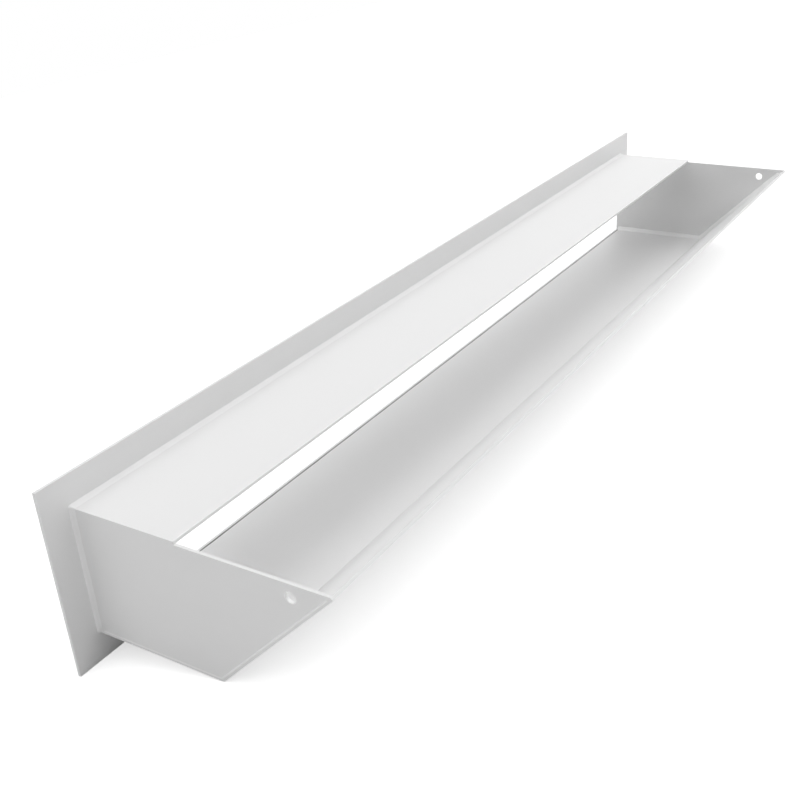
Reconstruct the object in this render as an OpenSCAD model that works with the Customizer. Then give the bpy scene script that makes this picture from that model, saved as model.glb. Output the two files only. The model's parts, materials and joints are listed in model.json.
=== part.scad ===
// Ventilation grille for a hood or a duct: a flat front frame with one long slot,
// and behind it a shallow body of welded sheet that sends the air up and rearwards.
// Each piece is drawn as mounted in a wall: X along the slot, Y rearwards from the
// frame's back face, Z up from the frame's lower edge. The whole is then tipped back
// until it stands unheld, on the frame's lower edge and on the deflector's bend.

/* [Front frame] */
// Length of the front frame, along the slot
frame_l = 600; // [300:5:1200]
// Height of the front frame
frame_h = 90; // [80:1:140]
// Width of the frame's border outside the body
border_w = 14; // [8:0.5:20]

/* [Body] */
// Depth of the top plate, behind the front frame
top_d = 55; // [20:1:70]
// Depth of the floor, from the front frame to the bend's outer corner
floor_d = 69; // [50:1:120]
// Slope of the deflector above the floor, in degrees
slope = 45; // [35:1:60]

/* [Sheet] */
// Thickness of the steel sheet
sheet_t = 1.5; // [1:0.1:2.5]
// Inside radius of the deflector's bend
bend_r = 1; // [0.5:0.1:4]
// Open seam between the floor's front edge and the front frame
seam = 0.4; // [0.2:0.1:0.8]

/* [Fixing holes] */
// Diameter of the hole in each end plate
hole_d = 5; // [3:0.1:7]
// Drop of the hole's centre below the end plate's top edge
hole_drop = 6; // [5:0.5:8]
// Setback of the hole's centre from the end plate's tip
hole_setback = 18; // [16:0.5:30]

/* [Hidden] */
$fn = 64;

steel_white = [0.93, 0.93, 0.93];

// The body's outside, inside the frame's border
body_l = frame_l - 2 * border_w;
body_low = border_w;
body_high = frame_h - border_w;

// The air space inside the body, which the frame's slot continues
slot_l = body_l - 2 * sheet_t;
slot_low = body_low + sheet_t;
slot_high = body_high - sheet_t;

// The bend's inner corner, and the axis that the sheet is bent about
corner_y = floor_d - sheet_t * tan(slope / 2);
bend_y = corner_y - bend_r * tan(slope / 2);
bend_z = slot_low + bend_r;

// Tip of the end plates, and of the deflector's inner face
tip_y = corner_y + (slot_high - slot_low) / tan(slope);
// Length of the deflector's flat wall, from the end of the bend to its top edge
wall_l = (slot_high - slot_low) / sin(slope) - bend_r * tan(slope / 2);
// Flats that the bend is drawn with
bend_steps = 9;

// Tilt at which the frame's lower back edge and the bend both touch the floor
rest_tilt = atan2(bend_z, bend_y) - asin((bend_r + sheet_t) / norm([bend_y, bend_z]));
// Front and rear limits of the tilted grille, at the frame's foot and at the deflector's lip
rest_front = -sheet_t * cos(rest_tilt);
rest_rear = (tip_y + sheet_t * sin(slope)) * cos(rest_tilt)
          + (slot_high - sheet_t * cos(slope)) * sin(rest_tilt);

// Stands the mounted grille as it comes to rest, with its box centred over the origin
module at_rest()
    translate([0, -(rest_front + rest_rear) / 2, 0]) rotate([-rest_tilt, 0, 0]) children();

// Extrudes a section drawn in depth and height along X, centred on the slot
module along_x(length)
    translate([-length / 2, 0, 0]) rotate([90, 0, 90]) linear_extrude(length) children();

// Line that keeps the distance r from the bend's axis: the arc of the bend, then the wall
function bend_line(r) = [
    for (i = [0 : bend_steps]) let (a = slope * i / bend_steps)
        [bend_y + r * sin(a), bend_z - r * cos(a)],
    [bend_y + r * sin(slope) + wall_l * cos(slope), bend_z - r * cos(slope) + wall_l * sin(slope)]
];

function reversed(points) = [for (i = [len(points) - 1 : -1 : 0]) points[i]];

// Section of the bent sheet: floor, bend and sloping wall
module deflector_section()
    polygon(concat([[seam, body_low]], bend_line(bend_r + sheet_t),
                   reversed(bend_line(bend_r)), [[seam, slot_low]]));

// Outline of an end plate, which follows the inside of the bent sheet
module end_outline()
    polygon(concat([[0, slot_low]], bend_line(bend_r), [[0, slot_high]]));

// An end plate, at side -1 or 1, with its fixing hole
module end_plate(side) {
    color(steel_white) at_rest() translate([side * (body_l - sheet_t) / 2, 0, 0]) difference() {
        along_x(sheet_t) end_outline();
        translate([0, tip_y - hole_setback, slot_high - hole_drop])
            rotate([0, 90, 0]) cylinder(d = hole_d, h = 2 * sheet_t, center = true);
    }
}

module front_frame() {
    color(steel_white) at_rest() difference() {
        translate([-frame_l / 2, -sheet_t, 0]) cube([frame_l, sheet_t, frame_h]);
        translate([-slot_l / 2, -2 * sheet_t, slot_low])
            cube([slot_l, 3 * sheet_t, slot_high - slot_low]);
    }
}

module top_plate() {
    color(steel_white) at_rest()
        translate([-body_l / 2, 0, slot_high]) cube([body_l, top_d, sheet_t]);
}

module bent_deflector() {
    color(steel_white) at_rest() along_x(body_l) deflector_section();
}

module end_plate_left() end_plate(-1);
module end_plate_right() end_plate(1);

front_frame();
top_plate();
bent_deflector();
end_plate_left();
end_plate_right();
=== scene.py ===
# %% [markdown]
# # A ventilation grille in white powder coat
#
# The real grille is five pieces of sheet steel: a flat front frame with one long slot, a
# top plate, a floor that is bent up into a sloping deflector, and an end plate at each
# side. They are joined into one body and sprayed with white powder, which an oven melts
# into a single satin film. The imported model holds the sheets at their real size. This
# lesson adds what bare sheets can't show: the paint fillets in the joints, the paint
# itself, and a plain white studio to see them in.

# %% Load the sheets
import json
import math

import bmesh
import bpy
import numpy as np
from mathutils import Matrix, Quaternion, Vector


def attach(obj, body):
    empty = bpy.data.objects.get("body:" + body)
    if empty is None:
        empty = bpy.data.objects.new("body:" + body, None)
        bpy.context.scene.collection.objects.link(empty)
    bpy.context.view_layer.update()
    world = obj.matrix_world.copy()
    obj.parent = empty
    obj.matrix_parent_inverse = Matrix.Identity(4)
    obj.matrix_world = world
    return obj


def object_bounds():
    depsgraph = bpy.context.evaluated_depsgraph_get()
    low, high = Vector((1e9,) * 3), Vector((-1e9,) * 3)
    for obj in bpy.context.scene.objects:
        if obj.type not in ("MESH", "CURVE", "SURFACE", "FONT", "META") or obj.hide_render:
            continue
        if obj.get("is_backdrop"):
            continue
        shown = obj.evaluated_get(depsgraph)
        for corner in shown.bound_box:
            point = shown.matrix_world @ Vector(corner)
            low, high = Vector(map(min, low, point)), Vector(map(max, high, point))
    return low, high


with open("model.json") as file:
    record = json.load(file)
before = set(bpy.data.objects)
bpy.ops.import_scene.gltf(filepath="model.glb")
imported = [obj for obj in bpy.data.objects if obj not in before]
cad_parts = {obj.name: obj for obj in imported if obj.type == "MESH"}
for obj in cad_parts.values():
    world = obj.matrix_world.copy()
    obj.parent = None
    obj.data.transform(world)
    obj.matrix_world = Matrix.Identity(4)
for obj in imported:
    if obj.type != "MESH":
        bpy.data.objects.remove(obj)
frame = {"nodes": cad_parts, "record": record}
cad_low, cad_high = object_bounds()
print("sheets:", ", ".join(sorted(frame["nodes"])))
print("box in mm:", [round(1000 * size, 1) for size in cad_high - cad_low])

# %% [markdown]
# ## Measuring in the wall's axes
#
# The grille is stored as it stands by itself, leaning back on its frame's foot and on the
# deflector's bend, so none of its sheets is square to the world. Built into a wall it is
# upright, and every sheet is a plain box: x along the slot, y rearwards from the frame's
# back face, z up from the frame's lower edge. Everything new is worked out in those
# upright axes and leaned back at the end. The lean could be typed in, but two corners of
# the front frame's back face give it exactly, whatever size the grille is built at.

# %% Find the lean
def corners(node):
    """The corner points of one sheet, one row each, as stored."""
    mesh = frame["nodes"][node].data
    flat = np.empty(3 * len(mesh.vertices))
    mesh.vertices.foreach_get("co", flat)
    return flat.reshape(-1, 3)


frame_points = corners("front_frame")
foot = frame_points[frame_points[:, 2].argmin()]
head = frame_points[frame_points[:, 1].argmax()]
lean = math.atan2(head[1] - foot[1], head[2] - foot[2])
foot_line = np.array([0, foot[1], foot[2]])
lean_back = np.array([
    [1, 0, 0],
    [0, math.cos(lean), math.sin(lean)],
    [0, -math.sin(lean), math.cos(lean)],
])


def as_stored(points):
    """Upright points leaned back: each is turned about x by the lean, then moved to the foot."""
    return points @ lean_back.T + foot_line


def upright_box(node):
    """Lowest and highest corner of a sheet in the wall's axes: the same turn, undone."""
    points = (corners(node) - foot_line) @ lean_back
    return points.min(axis=0), points.max(axis=0)


print("leans back by", round(math.degrees(lean), 2), "degrees")

# %% [markdown]
# ## Reading the joints off the sheets
#
# A fillet has to start exactly where two sheets meet, so its place is read from the
# sheets and not guessed. The deflector's lip is cut square to its slope, so the lip
# stands out past the end plate's tip by the sheet's thickness times the sine of the
# slope, and that gives the angle of the bend.

# %% Read the sizes
MM = 0.001

plate_low, plate_high = upright_box("top_plate")
sheet_low, sheet_high = upright_box("bent_deflector")
end_high = upright_box("end_plate_right")[1]

sheet_t = plate_high[2] - plate_low[2]
body_x = plate_high[0]
body_low, body_high = sheet_low[2], plate_high[2]
inner_x = body_x - sheet_t
inner_low, inner_high = body_low + sheet_t, plate_low[2]

slope = math.asin((sheet_high[1] - end_high[1]) / sheet_t)
bend_r = 1.0 * MM
corner_y = end_high[1] - (inner_high - inner_low) / math.tan(slope)
bend_y = corner_y - bend_r * math.tan(slope / 2)
wall_l = (inner_high - inner_low) / math.sin(slope) - bend_r * math.tan(slope / 2)
print("sheet", round(sheet_t / MM, 2), "mm, slope", round(math.degrees(slope), 1), "degrees")

# %% [markdown]
# ## A strip of paint carried along a joint
#
# Where two sheets meet, molten powder gathers and sets as a small hollow fillet. It could
# be a bevel on the sheets, but the sheets are finished and stay as they are. A curve with
# a bevel profile would do as well, but its width can't breathe along the way. So each
# fillet is a grid of points: one direction runs along the joint, the other round the
# fillet's own section, and both are whole numpy arrays.

# %% Turn a grid of sections into a mesh
SHARP = math.radians(40)


def strip(name, sections, closed=False):
    """A solid strip through a grid of upright points, stations by section points.

    Each point is joined to its neighbour in the section and to the same point of the next
    station. A closed run joins its last station to its first, and an open one gets a cap
    at each end. The strip is leaned back with the sheets.
    """
    stations, around = sections.shape[:2]
    here = np.arange(stations * around).reshape(stations, around)
    ahead = np.roll(here, -1, axis=0)
    quads = np.stack([here, ahead, np.roll(ahead, -1, axis=1), np.roll(here, -1, axis=1)], axis=-1)
    if closed:
        faces = quads.reshape(-1, 4).tolist()
    else:
        faces = quads[:-1].reshape(-1, 4).tolist() + [here[0].tolist(), here[-1].tolist()]
    mesh = bpy.data.meshes.new(name)
    mesh.from_pydata(as_stored(sections.reshape(-1, 3)).tolist(), [], faces)
    shape = bmesh.new()
    shape.from_mesh(mesh)
    bmesh.ops.recalc_face_normals(shape, faces=shape.faces)
    volume = shape.calc_volume()
    shape.to_mesh(mesh)
    shape.free()
    mesh.shade_smooth()
    mesh.set_sharp_from_angle(angle=SHARP)
    piece = bpy.data.objects.new(name, mesh)
    bpy.context.scene.collection.objects.link(piece)
    print(f"{name}: {len(mesh.polygons)} faces, {1e9 * volume:.0f} cubic mm of paint and filler")
    return piece


# %% [markdown]
# The section of a fillet lies between a quarter circle that is hollowed towards the corner,
# whose ends run out flush with the sheets, and a quarter circle that bulges like a bead of
# filler. One number, its fullness, slides it from the one to the other. Its two legs may
# differ: paint creeps further along the sheet that lay flat in the oven. A fillet is also
# never a perfect extrusion, so its legs swell and shrink a little on the way, by a sum of
# three slow waves whose lengths have no common measure. Its edges bite a hair into both
# sheets, so that no gap shows, and its back lies inside them.

# %% The section and its swell
SECTION_STEPS = 7
BITE = 0.03 * MM
SWELL_LENGTHS = np.array([37.0, 11.3, 5.1]) * MM
SWELL_SHARES = np.array([0.5, 0.3, 0.2])


def fillet_section(fullness):
    """Shares of the two legs at angle a: 1 - sin a and 1 - cos a in a hollow, cos a and sin a in a bead.

    Fullness takes each point that share of the way from the hollow's to the bead's.
    """
    angle = np.linspace(0, math.pi / 2, SECTION_STEPS)
    along_one = (1 - fullness) * (1 - np.sin(angle)) + fullness * np.cos(angle)
    along_other = (1 - fullness) * (1 - np.cos(angle)) + fullness * np.sin(angle)
    return along_one, along_other


def swell(distance, amount, seed):
    """One plus a sum of three sine waves of the distance, each begun at an angle of its own."""
    begin = np.random.default_rng(seed).uniform(0, 2 * math.pi, len(SWELL_LENGTHS))
    waves = np.sin(2 * math.pi * distance[:, None] / SWELL_LENGTHS + begin)
    return 1 + amount * waves @ SWELL_SHARES


def travelled(points):
    """Distance along a line of points, from its first one: the running sum of the steps."""
    steps = np.linalg.norm(np.diff(points, axis=0), axis=1)
    return np.concatenate([[0], np.cumsum(steps)])


# %% [markdown]
# ## The fillet round the body
#
# The body is joined to the frame's back all the way round its outside. From behind, this
# fillet is the pale line that runs along the foot of the top plate and down beside the
# end plate; its whiter paint is a painted highlight that lifts that line. It could be four
# straight strips mitred at the corners, but the real one flows round each corner, so one
# strip is carried round the whole body and its outward direction turns a quarter circle
# at every corner.

# %% Carry a fillet round the body
OUT_LEG = 0.9 * MM
REAR_LEG = 3.2 * MM
BODY_FULLNESS = 0.15
CORE = 0.4 * MM
STATION_GAP = 2.0 * MM
CORNER_TURNS = 9


def round_the_body():
    """Stations round the body, a core's depth inside its outside: a point and an outward angle.

    Each side gives evenly spaced points with one angle, and each corner gives one point
    whose angle turns by a quarter circle, anticlockwise as seen from behind the slot.
    """
    x = body_x - CORE
    low = body_low + CORE
    high = body_high - CORE
    turn_points = [(x, high), (-x, high), (-x, low), (x, low)]
    points, angles = [], []
    for side, start in enumerate(turn_points):
        end = turn_points[(side + 1) % len(turn_points)]
        count = round(math.dist(start, end) / STATION_GAP)
        share = np.linspace(0, 1, count)[:, None]
        facing = (side + 1) * math.pi / 2
        points += [np.array(start) * (1 - share) + np.array(end) * share]
        angles += [np.full(count, facing)]
        points += [np.tile(end, (CORNER_TURNS, 1))]
        angles += [facing + np.linspace(0, math.pi / 2, CORNER_TURNS + 2)[1:-1]]
    return np.concatenate(points), np.concatenate(angles)


centre_line, facing = round_the_body()
out_share, rear_share = fillet_section(BODY_FULLNESS)
breadth = swell(travelled(centre_line), amount=0.07, seed=3)[:, None]
out = np.hstack([
    CORE + breadth * OUT_LEG * out_share - BITE,
    np.full((len(facing), 1), CORE / 2),
])
rear = np.hstack([
    breadth * REAR_LEG * rear_share - BITE,
    np.full((len(facing), 1), -CORE / 2),
])
frame_fillet = strip("frame_fillet", np.stack([
    centre_line[:, :1] + out * np.cos(facing)[:, None],
    rear,
    centre_line[:, 1:] + out * np.sin(facing)[:, None],
], axis=-1), closed=True)

# %% [markdown]
# ## The fillets inside the ends
#
# Each end plate stands in the bent sheet, and a fillet follows their joint: along the
# floor, round the bend and up the slope. At the bend the corner closes, and there the
# fillet's leg on the end plate can't keep square to the sheet, because its points would
# cross. They gather instead at the mitre, the point that lies one leg away from the floor
# and from the wall alike.

# %% Follow the bent sheet
LINE_GAP = 1.5 * MM
BEND_STEPS = 9


def even(start, end):
    """Evenly spaced numbers from start up to, but without, end."""
    return np.linspace(start, end, max(2, round(abs(end - start) / LINE_GAP)), endpoint=False)


def bent_line(start_y, spare):
    """Points (y, z) on the bent sheet's inside: the floor, an arc about the bend's axis, the wall.

    The line begins at start_y on the floor and stops a spare length before the tip.
    """
    floor_y = even(start_y, bend_y)
    turned = np.linspace(0, slope, BEND_STEPS, endpoint=False)
    climbed = even(0, wall_l - spare)
    arc_y = bend_y + bend_r * math.sin(slope)
    arc_z = inner_low + bend_r * (1 - math.cos(slope))
    return np.concatenate([
        np.stack([floor_y, np.full_like(floor_y, inner_low)], axis=1),
        np.stack([bend_y + bend_r * np.sin(turned), inner_low + bend_r * (1 - np.cos(turned))], axis=1),
        np.stack([arc_y + climbed * math.cos(slope), arc_z + climbed * math.sin(slope)], axis=1),
    ])


def leg_ends(line, leg):
    """Points (y, z) one leg above the line: square to the floor or the wall, else at the mitre."""
    mitre_back = leg[:, None] * math.tan(slope / 2)
    floor_way = np.array([1, 0])
    wall_way = np.array([math.cos(slope), math.sin(slope)])
    corner = np.array([corner_y, inner_low])
    on_floor = line + leg[:, None] * np.array([0, 1])
    on_wall = line + leg[:, None] * np.array([-math.sin(slope), math.cos(slope)])
    mitre = corner - mitre_back * floor_way + leg[:, None] * np.array([0, 1])
    before = (line - corner) @ floor_way[:, None] < -mitre_back
    beyond = (line - corner) @ wall_way[:, None] > mitre_back
    return np.where(before, on_floor, np.where(beyond, on_wall, mitre))


# %% Set a fillet inside each end
END_LEG = 2.4 * MM
END_FULLNESS = 0.65
RUN_OUT = 4.0 * MM
LAST_LEG = 0.15
SIDES = {"left": -1, "right": 1}


def run_out(distance):
    """A share that falls from 1 to the last leg's over the run-out, on a half cosine wave."""
    left = np.clip((distance[-1] - distance) / RUN_OUT, 0, 1)
    return LAST_LEG + (1 - LAST_LEG) * (1 - np.cos(math.pi * left)) / 2


def joint_fillet(name, side, line, ends):
    """A fillet between an end plate and the sheet below or above it.

    Along the sheet it reaches from the end plate towards the middle, and along the end
    plate from the line to the ends given for it. The section shares out both.
    """
    along_sheet, along_plate = fillet_section(END_FULLNESS)
    reach = np.linalg.norm(ends - line, axis=1)[:, None]
    up = (ends - line) / reach
    rise = np.hstack([reach * along_plate - BITE, np.full_like(reach, -CORE / 2)])
    inward = np.hstack([reach * along_sheet - BITE, np.full_like(reach, -CORE / 2)])
    return strip(name, np.stack([
        side * (inner_x - inward),
        line[:, :1] + rise * up[:, :1],
        line[:, 1:] + rise * up[:, 1:],
    ], axis=-1))


joint_pieces = []
for place, side in SIDES.items():
    line = bent_line(sheet_low[1], spare=0.5 * MM)
    distance = travelled(line)
    leg = END_LEG * swell(distance, amount=0.08, seed=11 + side) * run_out(distance)
    joint_pieces += [joint_fillet("end_fillet_" + place, side, line, leg_ends(line, leg))]

# %% [markdown]
# ## The fillets under the top plate
#
# The top plate lies on the end plates' upper edges, and its joint is closed from below.
# Only a look from underneath or through the slot shows it, so it is a plain straight
# fillet with a shorter leg, made by the same function with the joint's line turned over.

# %% Set a fillet under each end of the top plate
TOP_LEG = 1.1 * MM
TOP_BEGIN = 0.2 * MM
TOP_SPARE = 0.4 * MM

for place, side in SIDES.items():
    depth = even(TOP_BEGIN, plate_high[1] - TOP_SPARE)
    line = np.stack([depth, np.full_like(depth, inner_high)], axis=1)
    distance = travelled(line)
    leg = TOP_LEG * swell(distance, amount=0.08, seed=21 + side) * run_out(distance)
    ends = line - leg[:, None] * np.array([0, 1])
    joint_pieces += [joint_fillet("top_fillet_" + place, side, line, ends)]

# %% [markdown]
# ## The joint line on the outside of each end
#
# Outside, the end plate's face and the deflector's cut edge lie in one plane, and only a
# hair of raised paint shows where they meet. It is a low half ellipse carried along the
# same bent line. A painted line would vanish in a raking light; this one catches it.

# %% Lay a bead along each outer joint
BEAD_HALF = 0.45 * MM
BEAD_RISE = 0.14 * MM
BEAD_STEPS = 7


def outer_bead(name, side):
    """A half ellipse across the joint: cos a times the half width, sin a times the rise."""
    line = bent_line(REAR_LEG, spare=0.8 * MM)
    along = np.gradient(line, axis=0)
    along /= np.linalg.norm(along, axis=1)[:, None]
    across = np.stack([-along[:, 1], along[:, 0]], axis=1)
    size = swell(travelled(line), amount=0.1, seed=31 + side)[:, None]
    angle = np.linspace(0, math.pi, BEAD_STEPS)
    width = np.hstack([size * BEAD_HALF * np.cos(angle), np.zeros_like(size)])
    rise = np.hstack([size * BEAD_RISE * np.sin(angle) - BITE, np.full_like(size, -CORE / 2)])
    return strip(name, np.stack([
        side * (body_x + rise),
        line[:, :1] + width * across[:, :1],
        line[:, 1:] + width * across[:, 1:],
    ], axis=-1))


for place, side in SIDES.items():
    joint_pieces += [outer_bead("outer_bead_" + place, side)]

# %% [markdown]
# ## Paint rolled over the cut edges
#
# Molten powder draws back from a sharp edge and sets beside it as a fat, round lip. It
# softens the top plate's rear edge, and round each fixing hole it shows as a bright sickle
# below and a dark one above. A bevel would cut into the sheets, so the lip is laid over
# them: a rounded oblong section, a superellipse, swept along the edge or round the hole.
# The holes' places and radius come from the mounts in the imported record.

# %% Roll paint over the rear edge and the holes
LIP_RISE = 0.12 * MM
LIP_STEPS = 20
EDGE_LIP = 0.35 * MM
EDGE_STATIONS = 120
EDGE_CALM = 0.3
HOLE_LIP = 0.28 * MM
HOLE_RISE = 0.06 * MM
HOLE_STATIONS = 48


def oblong(half_across, half_along):
    """A superellipse of the fourth degree: the root of |cos a| and of |sin a|, with their signs."""
    angle = np.linspace(0, 2 * math.pi, LIP_STEPS, endpoint=False)
    across, along = np.cos(angle), np.sin(angle)
    return (half_across * np.sign(across) * np.sqrt(np.abs(across)),
            half_along * np.sign(along) * np.sqrt(np.abs(along)))


def edge_roll():
    """The oblong swept along the top plate's rear edge, a little thicker than the sheet.

    The swell acts in full along the plate, and to a small power through its thickness.
    """
    stations = np.linspace(-body_x + LIP_RISE, body_x - LIP_RISE, EDGE_STATIONS)
    breadth = swell(stations - stations[0], amount=0.06, seed=41)[:, None]
    across, along = oblong(sheet_t / 2 + LIP_RISE / 3, EDGE_LIP)
    return strip("rear_edge_roll", np.stack([
        stations[:, None] + np.zeros((1, LIP_STEPS)),
        plate_high[1] - EDGE_LIP / 2 + breadth * along,
        (plate_low[2] + plate_high[2]) / 2 + breadth ** EDGE_CALM * across,
    ], axis=-1))


def hole_roll(name, mount):
    """The oblong turned round the hole's axis, over both faces of the end plate."""
    centre = (np.array(mount["pos_m"]) - foot_line) @ lean_back
    radius = mount["dims"]["r_mm"] * MM + HOLE_LIP / 3
    turn = np.linspace(0, 2 * math.pi, HOLE_STATIONS, endpoint=False)[:, None]
    across, along = oblong(sheet_t / 2 + HOLE_RISE, HOLE_LIP)
    return strip(name, np.stack([
        np.sign(centre[0]) * (inner_x + sheet_t / 2) + across + 0 * turn,
        centre[1] + (radius + along) * np.cos(turn),
        centre[2] + (radius + along) * np.sin(turn),
    ], axis=-1), closed=True)


mounts = {mount["name"]: mount for mount in frame["record"]["mounts"]}
joint_pieces += [edge_roll()]
for place in SIDES:
    joint_pieces += [hole_roll("hole_roll_" + place, mounts["hole_" + place])]

# %% [markdown]
# ## Painted shade in the seam
#
# The floor's front edge doesn't quite touch the frame, and the narrow gap between them
# lies in shade. That shade is painted: a near-black strip, hollow and sunk in the gap and a
# hair thick on the floor's edge, darkens the seam more than the light alone does. A dark
# line painted on the floor alone would lie in the light, but most of this one lies in the
# gap's own shade.

# %% Paint the seam's shade
LINING_SINK = 0.06 * MM
LINING_STEPS = 6
LINING_STATIONS = 140
SHADOW_LIP_WIDTH = 0.3 * MM
SHADOW_LIP_RISE = 0.02 * MM


def painted_seam_shadow():
    """A near-black strip of painted shade, a trough and a lip: a half sine sinks the top in the gap,
    then it lies flat over the floor's edge.

    The lip ends inside the sheet, and the trough on a flat underside deep in the gap.
    """
    stations = np.linspace(-inner_x + BITE, inner_x - BITE, LINING_STATIONS)[:, None]
    waver = swell((stations - stations[0])[:, 0], amount=0.4, seed=51)[:, None]
    share = np.linspace(0, 1, LINING_STEPS)
    gap = sheet_low[1] + BITE
    lip = gap + SHADOW_LIP_WIDTH * waver
    hollow_top = inner_low - LINING_SINK * waver * (1 + np.sin(math.pi * share))
    level = np.ones_like(stations)
    depth = np.hstack([gap * share * level, gap * level, lip, lip, gap * level, gap * level, 0 * level])
    shadow_lip_top = (inner_low + SHADOW_LIP_RISE) * level
    in_sheet = (inner_low - CORE) * level
    underside = (body_low + CORE) * level
    height = np.hstack([hollow_top, shadow_lip_top, shadow_lip_top, in_sheet, in_sheet, underside, underside])
    return strip("painted_seam_shadow", np.stack([stations + 0 * depth, depth, height], axis=-1))


seam_shadow_strip = painted_seam_shadow()

# %% [markdown]
# ## The paint film
#
# Powder melts into a film that is nearly flat, but not quite: it keeps the skin of an
# orange, with soft dimples a little over a millimetre across, and over a hand's width its
# sheen and its whiteness drift by a hair. Three materials use this film: on the flat
# sheets, in the joints, where a purer white paints a highlight, and in the seam, where a
# near-black paints the gap's shade. So it is a node group, built once. It puts out a height
# and two masks, and each material makes its own paint of them.

# %% Helpers for node trees
def add(tree, kind, **settings):
    """A new node of a tree, with its settings made."""
    node = tree.nodes.new(kind)
    for setting, value in settings.items():
        setattr(node, setting, value)
    return node


def fill(node, **values):
    """Sets the node's input sockets, named with underscores for spaces."""
    for socket, value in values.items():
        node.inputs[socket.replace("_", " ")].default_value = value
    return node


# %% Build the film once
FINER = 2.7
FINE_SHARE = 0.5


def powder_film():
    """Height is coarse noise plus a share of a finer one, and each mask is one slow noise."""
    tree = bpy.data.node_groups.new("powder_film", "ShaderNodeTree")
    tree.interface.new_socket("Place", in_out="INPUT", socket_type="NodeSocketVector")
    tree.interface.new_socket("Dimples per Metre", in_out="INPUT", socket_type="NodeSocketFloat")
    for output in ("Height", "Sheen Mask", "Tone Mask"):
        tree.interface.new_socket(output, in_out="OUTPUT", socket_type="NodeSocketFloat")
    given = add(tree, "NodeGroupInput")
    result = add(tree, "NodeGroupOutput")
    finer = add(tree, "ShaderNodeMath", operation="MULTIPLY")
    finer.inputs[1].default_value = FINER
    coarse = fill(add(tree, "ShaderNodeTexNoise"), Detail=1.0, Roughness=0.4)
    fine = fill(add(tree, "ShaderNodeTexNoise"), Detail=1.0, Roughness=0.5)
    share = add(tree, "ShaderNodeMath", operation="MULTIPLY_ADD")
    share.inputs[1].default_value = FINE_SHARE
    sheen = fill(add(tree, "ShaderNodeTexNoise"), Scale=70.0, Detail=3.0, Roughness=0.6)
    tone = fill(add(tree, "ShaderNodeTexNoise"), Scale=9.0, Detail=2.0, Roughness=0.5)
    link = tree.links.new
    for texture in (coarse, fine, sheen, tone):
        link(given.outputs["Place"], texture.inputs["Vector"])
    link(given.outputs["Dimples per Metre"], coarse.inputs["Scale"])
    link(given.outputs["Dimples per Metre"], finer.inputs[0])
    link(finer.outputs[0], fine.inputs["Scale"])
    link(fine.outputs["Fac"], share.inputs[0])
    link(coarse.outputs["Fac"], share.inputs[2])
    link(share.outputs[0], result.inputs["Height"])
    link(sheen.outputs["Fac"], result.inputs["Sheen Mask"])
    link(tone.outputs["Fac"], result.inputs["Tone Mask"])
    return tree


film = powder_film()

# %% [markdown]
# A material reads the object's own coordinates, which here are metres in the grille's
# frame, so the dimples keep their real size on every sheet and run on across a joint.
# The white stays a plain pigment white: its two tones differ by one part in a hundred.
# The paint in the joints is a little glossier than on the sheets, and its purer white is a
# painted highlight on the fillets. In the seam a near-black paints the gap's shade.

# %% Make the three paints
def powder_coat(name, tones, sheens, dimples, dimple_depth):
    """Satin paint over the film: the masks set tone and roughness, and the height is a bump."""
    material = bpy.data.materials.new(name)
    material.use_nodes = True
    tree = material.node_tree
    link = tree.links.new
    paint = tree.nodes["Principled BSDF"]
    place = add(tree, "ShaderNodeTexCoord")
    coat = add(tree, "ShaderNodeGroup", node_tree=film)
    fill(coat, Dimples_per_Metre=dimples)
    tone = add(tree, "ShaderNodeMix", data_type="RGBA")
    tone.inputs["A"].default_value = (tones[0],) * 3 + (1,)
    tone.inputs["B"].default_value = (tones[1],) * 3 + (1,)
    roughness = fill(add(tree, "ShaderNodeMapRange"), To_Min=sheens[0], To_Max=sheens[1])
    bump = fill(add(tree, "ShaderNodeBump"), Strength=1.0, Distance=dimple_depth)
    link(place.outputs["Object"], coat.inputs["Place"])
    link(coat.outputs["Tone Mask"], tone.inputs["Factor"])
    link(coat.outputs["Sheen Mask"], roughness.inputs["Value"])
    link(coat.outputs["Height"], bump.inputs["Height"])
    link(tone.outputs["Result"], paint.inputs["Base Color"])
    link(roughness.outputs["Result"], paint.inputs["Roughness"])
    link(bump.outputs["Normal"], paint.inputs["Normal"])
    return material


sheet_paint = powder_coat(
    "white_powder_coat",
    tones=(0.855, 0.865), sheens=(0.36, 0.48), dimples=620.0, dimple_depth=0.008 * MM)
# The joints' purer white is a painted highlight: it brightens the fillets, beads and rolls beyond what
# the light gives them.
joint_paint_with_highlight = powder_coat(
    "powder_in_joints_with_painted_highlight",
    tones=(0.96, 0.97), sheens=(0.30, 0.40), dimples=420.0, dimple_depth=0.016 * MM)
# The seam's near-black is painted shade, darkening the gap as a deeper shadow would.
seam_shadow_paint = powder_coat(
    "painted_shadow_in_seam",
    tones=(0.04, 0.09), sheens=(0.55, 0.70), dimples=900.0, dimple_depth=0.01 * MM)

for node in frame["nodes"].values():
    node.data.materials.clear()
    node.data.materials.append(sheet_paint)
# The strips take the joint paint with its painted highlight, and the seam's strip takes its painted
# shade.
strips = [(piece, joint_paint_with_highlight) for piece in [frame_fillet] + joint_pieces] + [(seam_shadow_strip, seam_shadow_paint)]
for piece, paint in strips:
    piece.data.materials.append(paint)
    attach(piece, "root")
print("painted", len(frame["nodes"]), "sheets and", len(strips), "strips")

# %% [markdown]
# ## The camera
#
# The camera stands behind the grille, to the right and a little above, as the
# photographer's did, and is rolled so that the world's upright leans left in the picture.
# A place in space would be hard to read, so it is given the way one would say it: what it
# looks at, from how far, and at which angles. A photograph that was cropped off its middle
# needs a shifted lens too. This shift is small, so that the grille stays whole when the
# same lens is carried round it.

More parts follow.
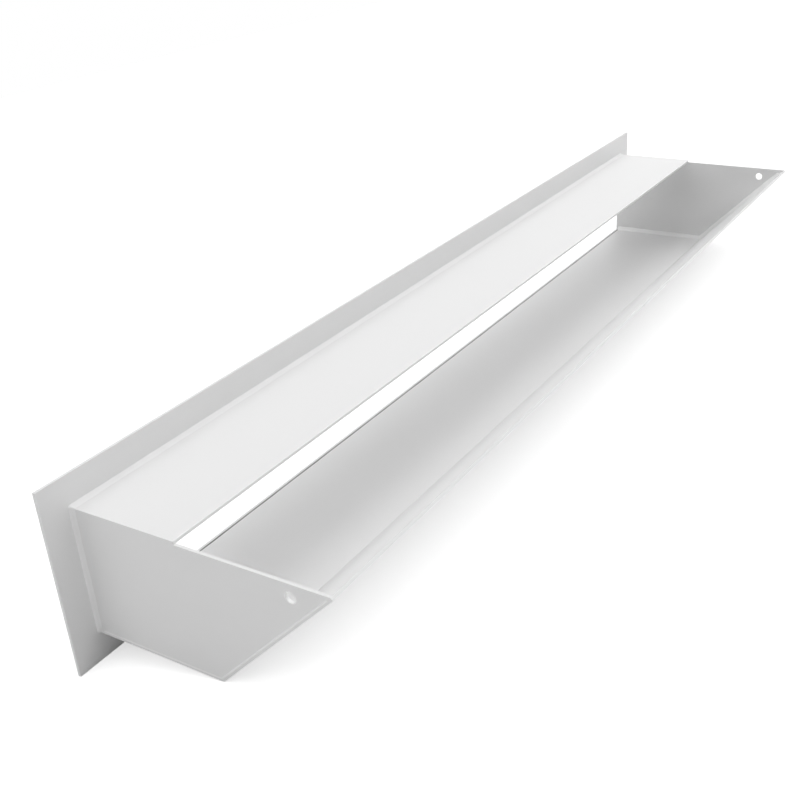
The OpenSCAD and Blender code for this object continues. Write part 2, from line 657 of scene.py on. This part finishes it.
# %% Place the camera
AIM = Vector((81.7, -26.3, 26.1)) * MM
DISTANCE = 593.8 * MM
AZIMUTH, ELEVATION, ROLL = (math.radians(angle) for angle in (127.15, 20.23, -14.18))
LENS = 49.17
SHIFT = -0.02


def way(azimuth, elevation):
    """A unit vector towards an azimuth and elevation: azimuth 0 is in front, at -y, and 90 is at +x."""
    level = math.cos(elevation)
    return Vector((math.sin(azimuth) * level, -math.cos(azimuth) * level, math.sin(elevation)))


def turned_to(look):
    """The turn that makes a camera or a lamp, which face down their own -z, face along look."""
    return look.to_track_quat("-Z", "Y")


camera = bpy.data.objects.new("camera", bpy.data.cameras.new("camera"))
bpy.context.scene.collection.objects.link(camera)
bpy.context.scene.camera = camera
view_way = way(AZIMUTH, ELEVATION)
camera.data.sensor_width = 36
camera.data.lens = LENS
camera.data.shift_x = SHIFT
camera.location = AIM + DISTANCE * view_way
camera.rotation_mode = "QUATERNION"
camera.rotation_quaternion = turned_to(-view_way) @ Quaternion((0, 0, 1), ROLL)
print("camera at", [round(part / MM) for part in camera.location], "mm")

# %% [markdown]
# ## The studio
#
# White on white needs light that is soft but not the same from every side, or the sheets
# would merge. Four very broad suns stand in for large softboxes: unlike lamps nearby they
# light the whole floor evenly. The floor is pale and takes the grille's shadow. Only for
# rays from the camera, and for what mirrors or glass would show, it also glows a little,
# so that it reads as the white of the page without throwing more light on the object.

# %% Light the grille
BROAD = math.radians(76)
SUNS = {
    "near_side": (60, 58, 1.21),
    "far_side_high": (240, 58, 1.28),
    "far_side_low": (240, 30, 0.73),
    "behind": (180, 58, 0.29),
}
DOME = 0.03

for name, (azimuth, elevation, strength) in SUNS.items():
    lamp = bpy.data.lights.new(name, "SUN")
    lamp.energy = strength
    lamp.angle = BROAD
    sun = bpy.data.objects.new(name, lamp)
    sun.rotation_mode = "QUATERNION"
    sun.rotation_quaternion = turned_to(-way(math.radians(azimuth), math.radians(elevation)))
    bpy.context.scene.collection.objects.link(sun)
print("suns:", ", ".join(SUNS))


# %% Lay the floor and the white page
def seen_directly(tree):
    """One where a ray comes from the camera, a mirror or glass, and zero where it carries light."""
    ray = add(tree, "ShaderNodeLightPath")
    total = add(tree, "ShaderNodeMath", operation="ADD")
    sight = add(tree, "ShaderNodeMath", operation="ADD", use_clamp=True)
    tree.links.new(ray.outputs["Is Camera Ray"], total.inputs[0])
    tree.links.new(ray.outputs["Is Glossy Ray"], total.inputs[1])
    tree.links.new(total.outputs[0], sight.inputs[0])
    tree.links.new(ray.outputs["Is Transmission Ray"], sight.inputs[1])
    return sight.outputs[0]


FLOOR_HALF = 30.0
FLOOR_TONE = 0.93
GLOW = 0.55

page = bpy.data.materials.new("studio_floor")
page.use_nodes = True
page.node_tree.nodes.clear()
matt = fill(add(page.node_tree, "ShaderNodeBsdfDiffuse"), Color=(FLOOR_TONE,) * 3 + (1,))
glow = add(page.node_tree, "ShaderNodeEmission")
glow_strength = add(page.node_tree, "ShaderNodeMath", operation="MULTIPLY")
glow_strength.inputs[1].default_value = GLOW
both = add(page.node_tree, "ShaderNodeAddShader")
page_out = add(page.node_tree, "ShaderNodeOutputMaterial")
page.node_tree.links.new(seen_directly(page.node_tree), glow_strength.inputs[0])
page.node_tree.links.new(glow_strength.outputs[0], glow.inputs["Strength"])
page.node_tree.links.new(matt.outputs[0], both.inputs[0])
page.node_tree.links.new(glow.outputs[0], both.inputs[1])
page.node_tree.links.new(both.outputs[0], page_out.inputs["Surface"])

floor_mesh = bpy.data.meshes.new("studio_floor")
floor_ring = np.array([[-1, -1, 0], [1, -1, 0], [1, 1, 0], [-1, 1, 0]]) * FLOOR_HALF
floor_mesh.from_pydata(floor_ring.tolist(), [], [[0, 1, 2, 3]])
floor_mesh.materials.append(page)
floor = bpy.data.objects.new("studio_floor", floor_mesh)
bpy.context.scene.collection.objects.link(floor)
floor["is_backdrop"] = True

world = bpy.data.worlds.new("studio")
bpy.context.scene.world = world
world.use_nodes = True
sky = world.node_tree.nodes["Background"]
dome_strength = fill(add(world.node_tree, "ShaderNodeMapRange"), To_Min=DOME, To_Max=1.0)
world.node_tree.links.new(seen_directly(world.node_tree), dome_strength.inputs["Value"])
world.node_tree.links.new(dome_strength.outputs["Result"], sky.inputs["Strength"])
sky.inputs["Color"].default_value = (1, 1, 1, 1)
bpy.context.scene.view_settings.view_transform = "Standard"

# %% [markdown]
# ## Measure the size at the end
#
# Paint has no size of its own here, so the painted grille has to keep the box of its
# sheets. The growth of the painted box over the sheets' box is printed.

# %% Print the growth
new_low, new_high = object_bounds()
growth = (new_high - new_low) - (cad_high - cad_low)
print("grows by", [round(float(more) / MM, 3) for more in growth], "mm")
